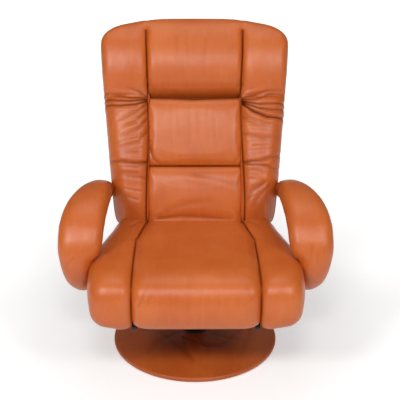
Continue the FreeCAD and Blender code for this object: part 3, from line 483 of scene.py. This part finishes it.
def finish_pad(piece, body, sources):
    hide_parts(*sources)
    if body:
        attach(piece, body)


def seat_seam(y):
    """How far the seat's two seams are from its middle, at a depth."""
    return SEAM_REAR + SEAM_SPREAD * np.clip((SPREAD_START - y) / SPREAD_RUN, 0, 1)


def seat_folds(piece, lines):
    """Lays the seat's pull marks and its two sewn seams, in the run of the hide, with shade painted along
    them.
    """
    where, normals = read_mesh(piece)
    # Run of the hide from the back edge over the top and down the front.
    run = np.where(normals[:, 2] > 0.4, -where[:, 1], FRONT_EDGE + (SEAT_TOP - where[:, 2]))
    drop, dark = folds_at(where[:, 0], run, lines)
    seen = soften(np.maximum(normals[:, 2], -normals[:, 1]), 0.1, 0.5)
    far = np.abs(np.abs(where[:, 0]) - seat_seam(where[:, 1]))
    drop += SEAM_SINK * np.exp(-far / SEAM_REACH)
    # Painted shade along each seam.
    dark = np.maximum(dark, 0.8 * np.exp(-(far / SEAM_LINE) ** 2))
    # No move across the seat, so that the panels stay pressed together at the seam.
    where[:, 1:] -= normals[:, 1:] * (drop * seen)[:, None]
    write_mesh(piece, where)
    write_fold_tone_and_shade(piece, dark * seen)


def rounded(u, v, wide, high, radius):
    """How far (u, v) moves so that the corner at (wide, high) gets a round of the radius."""
    across = np.maximum(np.abs(u) - wide + radius, 0)
    up = np.maximum(v - high + radius, 0)
    far = np.hypot(across, up)
    pull = np.where(far > radius, 1 - radius / np.maximum(far, 1), 0)
    return -np.sign(u) * across * pull, -up * pull


def round_corner(piece):
    """Rounds the seat's two lower front corners, seen from ahead."""
    where, _ = read_mesh(piece)
    front = 1 - soften(where[:, 1], -330, -230)
    ahead = where[:, 1] < -300
    wide = np.abs(where[ahead, 0]).max()
    low = where[ahead, 2].min()
    sideways, down = rounded(where[:, 0], -where[:, 2], wide, -low, CORNER_RADIUS)
    where[:, 0] += sideways * front
    where[:, 2] -= down * front
    # Beside the seam the underside sags with the middle panel's, and closes up to it.
    under = front * soften(UNDERSIDE - where[:, 2], 0, 50)
    where[:, 2] -= UNDERSIDE_SAG * under * (1 - soften(np.abs(where[:, 0]), 205, 265))
    where[:, 0] -= np.sign(where[:, 0]) * 8 * under * (1 - soften(np.abs(where[:, 0]), 205, 230))
    write_mesh(piece, where)


centre = pad_from("seat_middle_cushion", ["seat_centre_cushion"], grow=1.5, smooth=12, regrow=3.2)
stuff(centre)
relax(centre, 1 - soften(read_mesh(centre)[0][:, 1], *FRONT_FADE), rounds=90)
refine(centre)
front_pulls = [([(-168, 425), (-142, 370)], 1.0, 6, 0.2), ([(-140, 412), (-122, 372)], 0.7, 6, 0.2),
               ([(-63, 425), (-60, 388)], 0.3, 7, 0.2), ([(-24, 436), (-20, 350)], 0.4, 8, 0.2),
               ([(66, 418), (58, 362)], 0.4, 7, 0.2), ([(160, 402), (140, 352)], 0.6, 7, 0.2)]
where, _ = read_mesh(centre)
# The roll's underside sags, and closes up to the bolsters below.
under = (1 - soften(where[:, 1], -340, -240)) * soften(UNDERSIDE - where[:, 2], 0, 70)
where[:, 2] -= UNDERSIDE_SAG * under
where[:, 0] += np.sign(where[:, 0]) * 7 * under * soften(np.abs(where[:, 0]), 165, 185)
write_mesh(centre, where)
seat_folds(centre, front_pulls)
finish_pad(centre, "seat", ["seat_centre_cushion"])
for side, k in (("left", -1), ("right", 1)):
    bolster = pad_from("seat_bolster_" + side, ["seat_side_cushion_" + side],
                       grow=1.5, smooth=20, regrow=4.2)
    relax(bolster, 1 - 0.8 * soften(read_mesh(bolster)[0][:, 1], *FRONT_FADE), rounds=70)
    refine(bolster)
    where, normals = read_mesh(bolster)
    # The rear end fills up to the back, and the outer side is fullest under the arm.
    rear = soften(where[:, 1], 40, 115)
    where[:, 1] += 9 * rear
    where[:, 2] += 5 * rear * (normals[:, 2] > 0)
    side_swell = np.exp(-((where[:, 1] + 170) / 90) ** 2) * soften(np.abs(where[:, 0]), 240, 280)
    where[:, 0] += k * 6 * side_swell
    write_mesh(bolster, where)
    rear_pulls = [([(k * 178, -90), (k * 215, -40)], 1.6, 8, 0.3),
                  ([(k * 190, 60), (k * 235, 90)], 0.8, 9, 0.3)]
    round_corner(bolster)
    seat_folds(bolster, rear_pulls)
    finish_pad(bolster, "seat", ["seat_side_cushion_" + side])


# Footrest pad: a thin foam pad in the same hide, stapled round its plywood board. At
# rest it is folded up under the front of the seat.

footrest = pad_from("footrest_cushion", ["footrest_pad"], grow=0.2, smooth=6, regrow=0.5)
refine(footrest)
write_fold_tone_and_shade(footrest, np.zeros(len(footrest.data.vertices)))
finish_pad(footrest, "footrest", ["footrest_pad"])


# Arms: a steel band padded with foam and closed in leather. Each curls from the frame
# under the seat, out and up, to the back's pivot.

arm_creases = {
    "left": [([(372, 430), (398, 400)], 0.6, 7, 0.2), ([(340, 330), (352, 300)], 0.8, 7, 0.3)],
    "right": [([(352, 462), (346, 405)], 0.8, 6, 0.2), ([(369, 440), (371, 392)], 0.5, 6, 0.2),
              ([(390, 452), (383, 414)], 0.4, 5, 0.2), ([(340, 340), (356, 300)], 0.7, 7, 0.3)],
}
for side, k in (("left", -1), ("right", 1)):
    arm = pad_from("arm_" + side, ["arm_pad_" + side], grow=1.0, smooth=10, regrow=1.0)
    relax(arm, 1, rounds=45)
    refine(arm)
    where, normals = read_mesh(arm)
    # The foam gives a little at the top of the curve.
    where[:, 2] -= 6 * soften(where[:, 2], 430, 520)
    # The rear end closes up to the wing, over the pivot's boss.
    rear = soften(where[:, 1], 90, 150)
    inside = 1 - soften(np.abs(where[:, 0]), 310, 350)
    where[:, 0] -= k * 11 * rear * inside
    drop, dark = folds_at(np.abs(where[:, 0]), where[:, 2], arm_creases[side])
    ahead = soften(-normals[:, 1], 0.2, 0.6)
    write_mesh(arm, where - normals * (drop * ahead)[:, None])
    # Painted shade: the inner side is darkened, more toward the rear, where the arm faces the seat and the
    # wing.
    inner = soften(-k * normals[:, 0], 0.2, 0.9) * soften(where[:, 1], -260, 60)
    write_fold_tone_and_shade(arm, dark * ahead + 0.34 * inner)
    finish_pad(arm, "swivel_frame", ["arm_pad_" + side])


# Back: a lumbar panel and a middle panel between two long wings, under a pillow-like
# headrest. The wings' leather runs on over the neck hinge, and it gathers there in
# folds that fan out from the seams' corners.

LEAN = math.radians(22.4)
# Where the back's own plane starts, and the neck hinge's place up and into the back.
FOOT_Y, FOOT_Z = 118, 392
NECK_S = 454.0
NECK_T = 55.0
# Heights up the back. The upright seams end at the yoke, which is plain.
LUMBAR_SEAM = 184
NECK_CORNER = 421
YOKE = 640
HEAD_TOP = 692
HEAD_RADIUS = 64
# How far the upright seams are from the middle.
SEAM_ACROSS = 165


def back_plane(where):
    """Across and up the back, in its own leaned plane."""
    y = where[:, 1] - FOOT_Y
    z = where[:, 2] - FOOT_Z
    return where[:, 0], y * math.sin(LEAN) + z * math.cos(LEAN)


def off_back(x, s, t):
    """World place in metres of a point given across, up and into the back in millimetres."""
    y = FOOT_Y + s * math.sin(LEAN) + t * math.cos(LEAN)
    z = FOOT_Z + s * math.cos(LEAN) - t * math.sin(LEAN)
    return Vector((x, y, z)) / 1000


def raise_along(where, amount):
    """Moves points up the leaned back."""
    where[:, 1] += amount * math.sin(LEAN)
    where[:, 2] += amount * math.cos(LEAN)


def back_folds(piece, lines, seams, crown=None):
    """Folds, seam lines and crown, pressed straight into the plane of the back, with painted
    shade along them. A seam is (points, depth, how far it pulls the hide down, half-width of its shade)."""
    where, normals = read_mesh(piece)
    x, s = back_plane(where)
    front = soften(-(normals[:, 1] * math.cos(LEAN) - normals[:, 2] * math.sin(LEAN)), 0.05, 0.5)
    drop, dark = folds_at(x, s, lines)
    # On the outer side faces only the folds show.
    creased = drop
    if crown:
        drop = drop - crown(x, s)
    for points, depth, reach, line in seams:
        far, _ = line_field(x, s, points)
        drop = drop + depth * np.exp(-far / reach)
        dark = np.maximum(dark, 0.9 * np.exp(-(far / line) ** 2))
    where[:, 1] += drop * front * math.cos(LEAN)
    where[:, 2] -= drop * front * math.sin(LEAN)
    outer = soften(normals[:, 0] * np.sign(x), 0.5, 0.9) * (np.abs(x) > 230)
    where[:, 0] -= np.sign(x) * creased * outer
    write_mesh(piece, where)
    dark = dark * np.maximum(front, outer)
    # Painted shadow of the arms, on the wings' lower outer parts beside them.
    write_fold_tone_and_shade(piece, dark + 0.28 * soften(np.abs(x), 236, 292) * (1 - soften(s, 20, 190)))


def shape_head(piece, outward):
    """Sinks the top edge toward its corners, and laps the panels over each other at the
    yoke and at the neck's corners, where the seams between them aren't open."""
    where, _ = read_mesh(piece)
    x, s = back_plane(where)
    raise_along(where, -11 * soften(np.abs(x), 110, 290) * soften(s, 560, 680))
    # Only the wings reach the head's outer corners.
    head = (s > 540) & (s < YOKE)
    wide = np.abs(x[head]).max() if np.abs(x).max() > 250 else 310
    sideways, down = rounded(x, s, wide, HEAD_TOP, HEAD_RADIUS)
    where[:, 0] += sideways
    raise_along(where, down)
    beside = np.exp(-((np.abs(x) - SEAM_ACROSS) / 22) ** 2)
    lap = (14 if outward > 0 else 9) * soften(s, YOKE, YOKE + 24)
    lap += 13 * np.exp(-((s - NECK_CORNER) / 24) ** 2)
    where[:, 0] += outward * np.sign(x) * beside * lap
    if outward < 0:
        where[:, 2] += 4 * beside * soften(s, YOKE + 10, YOKE + 40)
    write_mesh(piece, where)


left_line = [(-166, 648), (-165, 599), (-162, 532), (-160, 419), (-157, 317), (-157, 232),
             (-161, 181), (-164, 91), (-165, 0)]
right_line = [(165, 648), (163, 571), (158, 487), (156, 419), (157, 317), (161, 232), (164, 181),
              (168, 91), (168, 0)]
upright_seams = [(left_line, 7.0, 15, 3), (right_line, 7.0, 15, 3)]
lumbar_seam = [([(-SEAM_ACROSS, LUMBAR_SEAM), (SEAM_ACROSS, LUMBAR_SEAM)], 5.0, 12, 3)]
# The middle panel's top edge gets a broad dark line: painted shade under the headrest's overhang.
top_edge = [([(-165, 422), (0, 413), (165, 422)], 3.0, 9, 9)]
neck_seam = [([(-165, 416), (-80, 409), (0, 407), (80, 409), (165, 416)], 4.0, 9, 5)]


def back_pad(name, source):
    """One stuffed panel of the back's middle row."""
    piece = pad_from(name, [source], grow=1.2, smooth=8, regrow=2.0)
    stuff(piece)
    refine(piece)
    return piece


lumbar = back_pad("lumbar_cushion", "back_lumbar_pad")
lumbar_folds = [([(-123, 6), (-49, 16), (30, 12), (120, 4)], 1.8, 9, 0.6),
                ([(-4, 156), (64, 142), (143, 114)], 1.0, 9, 0.3),
                ([(-95, 34), (-27, 57), (64, 68)], 0.8, 10, 0.3)]
back_folds(lumbar, lumbar_folds, upright_seams + lumbar_seam)
finish_pad(lumbar, "back", ["back_lumbar_pad"])

middle = back_pad("middle_cushion", "back_middle_pad")
middle_folds = [([(-152, 246), (-143, 210), (-117, 191), (-72, 188)], 1.8, 5, 0.4),
                ([(-152, 266), (-148, 227), (-131, 200)], 1.0, 5, 0.4),
                ([(160, 261), (151, 215), (132, 196)], 1.2, 5, 0.4)]
# Shallow waves that run down the panel: where each is, its top, its foot and its depth.
for x, top, foot, depth in ((-122, 340, 262, 0.25), (-81, 392, 238, 0.35), (-57, 352, 280, 0.3),
                            (-20, 384, 225, 0.45), (11, 366, 250, 0.35), (43, 395, 262, 0.3),
                            (66, 340, 235, 0.4), (113, 370, 285, 0.25)):
    middle_folds.append(([(x, top), (x + 5, foot)], depth, 6, 0.3))
shape_head(middle, outward=1)
back_folds(middle, middle_folds, upright_seams + top_edge + lumbar_seam)
finish_pad(middle, "back", ["back_middle_pad"])


def head_crown(x, s):
    """The headrest is fullest above its middle and curls in under itself at the neck."""
    return 3 * np.exp(-((s - 550) / 60) ** 2) - 20 * (1 - soften(s, 400, 500)) ** 1.6


headrest = back_pad("headrest_cushion", "head_centre_pad")
# The last, broad line along the neck sinks the headrest's foot and paints shade over it, under the
# headrest's curl.
head_folds = [([(-62, 620), (-54, 520)], 0.5, 9, 0.3), ([(-30, 640), (-26, 560)], 0.4, 8, 0.3),
              ([(38, 612), (30, 500)], 0.5, 9, 0.3), ([(-165, 405), (165, 405)], 3.0, 44, 1.0)]
shape_head(headrest, outward=1)
back_folds(headrest, head_folds, upright_seams + neck_seam, head_crown)
finish_pad(headrest, "head", ["head_centre_pad"])

# The wings' folds start at the seams, and run outward and down.
wing_folds = {
    "left": [
        ([(-163, 420), (-195, 440), (-226, 450)], 3.0, 6, 0.2),
        ([(-163, 416), (-217, 414), (-262, 424), (-304, 432)], 4.0, 6, 0.4),
        ([(-163, 409), (-217, 402), (-257, 404), (-303, 408)], 4.5, 5.5, 0.6),
        ([(-163, 402), (-201, 390), (-251, 386), (-301, 390)], 4.5, 6, 0.6),
        ([(-162, 394), (-189, 372), (-223, 352), (-257, 341)], 2.8, 7, 0.2),
        ([(-162, 372), (-195, 338), (-234, 316)], 2.4, 8, 0.2),
        ([(-160, 344), (-195, 304), (-246, 279)], 2.4, 8, 0.2),
        ([(-159, 304), (-189, 265), (-251, 243)], 2.0, 8, 0.2),
        ([(-159, 198), (-195, 193), (-240, 198), (-283, 200)], 3.6, 6, 0.5),
        ([(-159, 192), (-195, 181), (-246, 184)], 1.8, 6, 0.2),
        ([(-161, 142), (-206, 147), (-257, 153)], 1.6, 7, 0.3),
    ],
    "right": [
        ([(159, 415), (198, 423), (248, 440), (292, 442)], 3.6, 6, 0.3),
        ([(159, 408), (204, 407), (254, 426), (302, 426)], 3.6, 6, 0.4),
        ([(160, 402), (220, 391), (265, 394), (305, 395)], 4.2, 5.5, 0.5),
        ([(160, 397), (220, 377), (260, 372), (303, 376)], 4.0, 5.5, 0.5),
        ([(162, 391), (198, 366), (243, 348), (296, 345)], 4.8, 6, 0.7),
        ([(160, 349), (215, 321), (265, 316)], 1.6, 8, 0.2),
        ([(161, 293), (226, 276), (282, 279)], 1.6, 8, 0.2),
        ([(162, 197), (220, 200), (260, 212), (290, 221)], 3.0, 6, 0.4),
        ([(162, 191), (220, 186), (254, 178), (290, 168)], 2.6, 6, 0.4),
        ([(232, 125), (192, 97), (170, 63)], 2.0, 8, 0.4),
        ([(250, 118), (215, 84), (196, 48)], 1.6, 8, 0.4),
    ],
}
# Small creases between the large ones: where each starts beside the seam, how far it
# runs outward and how much it drops on the way.
fine_creases = {
    "left": [
        (436, 60, -6), (428, 90, 8), (381, 70, 22), (360, 58, 24), (352, 92, 40), (330, 74, 30),
        (318, 96, 38), (292, 60, 22), (278, 88, 26), (262, 54, 14), (246, 84, 18), (228, 60, 8),
        (214, 96, 4), (176, 72, -8), (160, 90, -4), (122, 60, -10), (98, 74, -14), (70, 50, -16),
    ],
    "right": [
        (440, 50, -10), (384, 84, 30), (372, 60, 26), (334, 90, 14), (322, 56, 12), (306, 84, 8),
        (280, 62, 4), (266, 96, -4), (250, 60, -6), (232, 88, -10), (216, 54, -8), (174, 84, 12),
        (158, 60, 14), (140, 90, 20), (112, 56, -30), (92, 70, -34), (74, 46, -28),
    ],
}
for side, k in (("left", -1), ("right", 1)):
    depth = 1.0 if side == "left" else 0.6
    for i, (start, reach, fall) in enumerate(fine_creases[side]):
        # Start, bend, depth and width take turns, so that no two neighbours are alike.
        inner = 166 + 14 * (i % 3)
        bend = (k * (inner + 0.5 * reach), start - 0.35 * fall + 3 * (i % 2))
        line = [(k * inner, start), bend, (k * (inner + reach), start - fall)]
        wing_folds[side].append((line, depth * (0.45 + 0.25 * (i % 3)), 3.6 + 1.3 * (i % 4), 0.2))


def wing_crown(x, s):
    """The wings stand proud halfway across, and roll back beside the arms."""
    out = np.abs(x)
    proud = 5 * np.exp(-((out - 222) / 38) ** 2) * soften(s, 10, 60) * (1 - soften(s, 600, 670))
    return proud - 14 * soften(out, 230, 292) * (1 - soften(s, 60, 200))


for side, k in (("left", -1), ("right", 1)):
    sources = ["back_wing_" + side, "head_side_pad_" + side]
    wing = pad_from("wing_" + side, sources, grow=1.6, smooth=14, regrow=3.6)
    relax(wing, 1, rounds=24, extra=0.6)
    refine(wing)
    where, _ = read_mesh(wing)
    _, s = back_plane(where)
    # The foot reaches down beside the seat.
    raise_along(where, -12 * (1 - soften(s, -5, 60)))
    write_mesh(wing, where)
    shape_head(wing, outward=-1)
    back_folds(wing, wing_folds[side], upright_seams, wing_crown)
    finish_pad(wing, None, sources)
    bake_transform(wing, "back", "head", start=off_back(k * 230, NECK_S - 70, NECK_T),
             end=off_back(k * 230, NECK_S + 60, NECK_T))


# Rear covers: flat leather panels stretched over the back's shell and the headrest's
# frame, stapled under their edges.

for name, source, body in (("back_panel", "back_rear_cover", "back"),
                           ("head_panel", "head_rear_cover", "head")):
    panel = pad_from(name, [source], grow=0.4, smooth=4, regrow=0.6)
    refine(panel)
    where, _ = read_mesh(panel)
    x, s = back_plane(where)
    # The hide runs on at the top, to meet the headrest's own hide.
    raise_along(where, (13 - 16 * soften(np.abs(x), 80, 190)) * soften(s, 600, 660))
    write_mesh(panel, where)
    write_fold_tone_and_shade(panel, np.zeros(len(where)))
    finish_pad(panel, body, [source])


# Studio: a white floor that keeps a soft grey shadow, broad lamps from the front and
# above, and the camera at the height and angle of the picture.

FLOOR_HALF = 14
material, tree, place = new_tree("white_studio_floor")
ray = add_node(tree, "ShaderNodeLightPath", {})
direct = add_node(tree, "ShaderNodeMath", {"operation": "MAXIMUM"},
                  [(0, ray.outputs["Is Camera Ray"]), (1, ray.outputs["Is Glossy Ray"])])
clear = add_node(tree, "ShaderNodeMath", {"operation": "MAXIMUM"},
                 [(0, direct.outputs["Value"]), (1, ray.outputs["Is Transmission Ray"])])
paint = add_node(tree, "ShaderNodeBsdfDiffuse", {"Color": linear("#F4F3F2")})
# The far floor glows more, so that the picture's ground runs out into plain white.
reach = add_node(tree, "ShaderNodeVectorMath", {"operation": "LENGTH"}, [(0, place)])
fade = ranged(tree, reach.outputs["Value"],
              {"From Min": 0.5, "From Max": 2.2, "To Min": 0.36, "To Max": 1.0})
glow = add_node(tree, "ShaderNodeEmission", {"Color": linear("#FFFFFF")}, [("Strength", fade)])
lit = add_node(tree, "ShaderNodeAddShader", {},
               [(0, paint.outputs["BSDF"]), (1, glow.outputs["Emission"])])
floor_mix = add_node(tree, "ShaderNodeMixShader", {},
                     [(0, clear.outputs["Value"]), (1, paint.outputs["BSDF"]),
                      (2, lit.outputs["Shader"])])
add_node(tree, "ShaderNodeOutputMaterial", {}, [("Surface", floor_mix.outputs["Shader"])])
form = bmesh.new()
bmesh.ops.create_grid(form, x_segments=1, y_segments=1, size=FLOOR_HALF)
mesh = bpy.data.meshes.new("studio_floor")
form.to_mesh(mesh)
form.free()
floor = as_piece("studio_floor", mesh, material)

world = bpy.data.worlds.new("white_studio")
scene.world = world
world.use_nodes = True
tree = world.node_tree
tree.nodes.clear()
ray = add_node(tree, "ShaderNodeLightPath", {})
soft_light = add_node(tree, "ShaderNodeBackground", {"Color": linear("#FFFFFF"), "Strength": 0.17})
backdrop = add_node(tree, "ShaderNodeBackground", {"Color": linear("#FFFFFF"), "Strength": 1.0})
sky_mix = add_node(tree, "ShaderNodeMixShader", {},
                   [(0, ray.outputs["Is Camera Ray"]), (1, soft_light.outputs["Background"]),
                    (2, backdrop.outputs["Background"])])
add_node(tree, "ShaderNodeOutputWorld", {}, [("Surface", sky_mix.outputs["Shader"])])


def lamp(name, place, aim, size, power):
    """A broad lamp at a place, turned to its aim. The size is (width, height)."""
    data = bpy.data.lights.new(name, "AREA")
    data.shape = "RECTANGLE"
    data.size = size[0]
    data.size_y = size[1]
    data.energy = power
    made = bpy.data.objects.new(name, data)
    made.location = place
    made.rotation_euler = (Vector(aim) - Vector(place)).to_track_quat("-Z", "Y").to_euler()
    scene.collection.objects.link(made)


lamp("left_softbox", (-1.5, -2.2, 2.2), (0, 0, 0.5), (0.7, 0.6), 36)
lamp("right_softbox", (1.5, -2.2, 2.2), (0, 0, 0.5), (0.7, 0.6), 25)
lamp("front_softbox", (-0.1, -2.7, 2.7), (0, 0, 0.6), (0.6, 0.4), 24)
lamp("top_softbox", (0, 0.2, 3.0), (0, 0, 0.4), (2.0, 1.4), 14)

camera_data = bpy.data.cameras.new("picture_camera")
camera_data.sensor_width = 36.0
camera_data.lens = 83.74
camera_data.shift_x = 0.0102
camera_data.clip_end = 60.0
camera = bpy.data.objects.new("picture_camera", camera_data)
camera.location = (-0.028, -2.777, 1.683)
camera.rotation_euler = (math.radians(90 - 22.797), math.radians(-0.13), math.radians(-0.565))
scene.collection.objects.link(camera)
scene.camera = camera
scene.view_settings.view_transform = "Standard"
